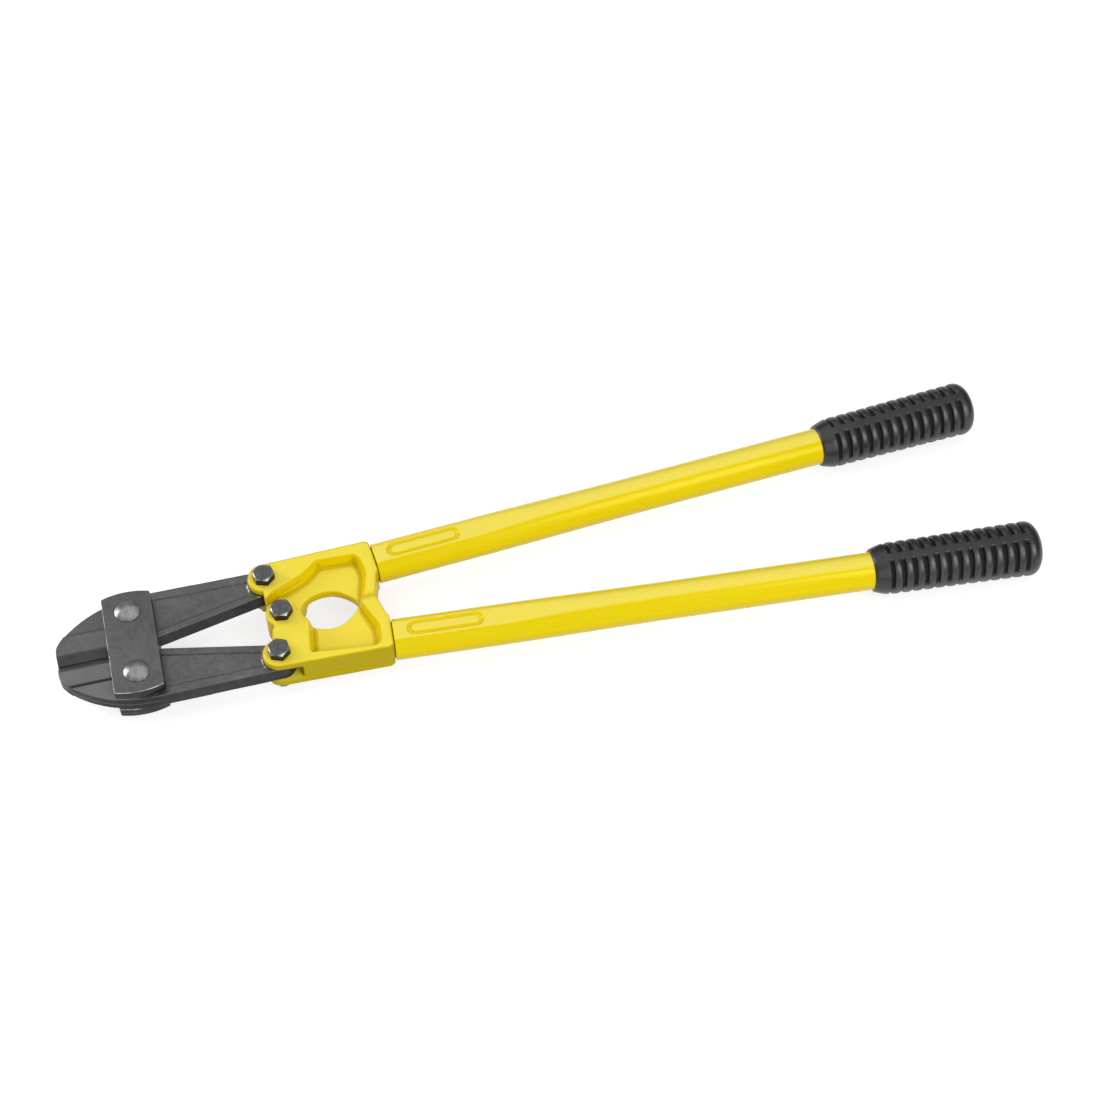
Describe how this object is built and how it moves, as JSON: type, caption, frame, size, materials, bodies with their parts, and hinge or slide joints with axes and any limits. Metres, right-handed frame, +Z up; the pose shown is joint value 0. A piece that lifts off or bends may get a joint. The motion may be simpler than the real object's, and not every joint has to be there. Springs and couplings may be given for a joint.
{
  "type": "bolt cutter",
  "caption": "Long-handled cutting tool: two forged blades between strap plates, driven through a toggle of cast handle ends, with tube handles and ribbed rubber grips.",
  "frame": {"origin": "on the centre pivot's axis, on the flat end of the centre bolt that the tool lies on", "axes": "+X from the centre pivot along the tool to the grips, +Y to the upper handle, +Z up, along the pivots, from the surface the tool lies on to the bolt heads"},
  "size_m": [0.6418, 0.162, 0.0413],
  "materials": {
    "forged_steel": "dark forged steel, satin, lightly oiled",
    "strap_steel": "dark satin steel with bright worn edges",
    "jaw_bolt_steel": "lighter satin steel, smooth dome",
    "pivot_bolt_steel": "dark grey steel with bright chamfers",
    "nut_steel": "plain grey steel",
    "yellow_paint": "glossy yellow enamel",
    "grip_rubber": "charcoal rubber, semi-matt"
  },
  "bodies": {
    "handle_lower": {"lower_casting": "yellow_paint", "lower_tube": "yellow_paint", "lower_grip": "grip_rubber", "lower_blade_bolt": "pivot_bolt_steel", "lower_blade_washer": "nut_steel", "lower_blade_nut": "nut_steel", "centre_bolt": "pivot_bolt_steel", "centre_washer": "nut_steel", "centre_nut": "nut_steel"},
    "handle_upper": {"upper_casting": "yellow_paint", "upper_tube": "yellow_paint", "upper_grip": "grip_rubber", "upper_blade_bolt": "pivot_bolt_steel", "upper_blade_washer": "nut_steel", "upper_blade_nut": "nut_steel"},
    "blade_lower": {"lower_blade": "forged_steel"},
    "blade_upper": {"upper_blade": "forged_steel"},
    "head_straps": {"strap_top": "strap_steel", "strap_bottom": "strap_steel", "upper_jaw_bolt": "jaw_bolt_steel", "lower_jaw_bolt": "jaw_bolt_steel", "upper_jaw_washer": "nut_steel", "lower_jaw_washer": "nut_steel", "upper_jaw_nut": "nut_steel", "lower_jaw_nut": "nut_steel"}
  },
  "joints": [
    {"name": "handle_open", "type": "hinge", "parent": "handle_lower", "child": "handle_upper", "pos_m": [0, 0, 0.02305], "axis": [0, 0, 1], "range_deg": [0, 100]},
    {"name": "lower_blade_swing", "type": "hinge", "parent": "handle_lower", "child": "blade_lower", "pos_m": [-0.0065, -0.03, 0.02305], "axis": [0, 0, 1], "range_deg": [0, 59.6]},
    {"name": "upper_blade_swing", "type": "hinge", "parent": "handle_upper", "child": "blade_upper", "pos_m": [-0.0065, 0.03, 0.02305], "axis": [0, 0, 1], "range_deg": [-59.6, 0]},
    {"name": "strap_swing", "type": "hinge", "parent": "blade_lower", "child": "head_straps", "pos_m": [-0.0955, -0.0235, 0.02305], "axis": [0, 0, 1], "range_deg": [-9.6, 0]}
  ],
  "couplings": [
    {"joint": "lower_blade_swing", "follows": "handle_open", "ratio": 0.595},
    {"joint": "upper_blade_swing", "follows": "handle_open", "ratio": -0.595},
    {"joint": "strap_swing", "follows": "handle_open", "ratio": -0.095}
  ]
}
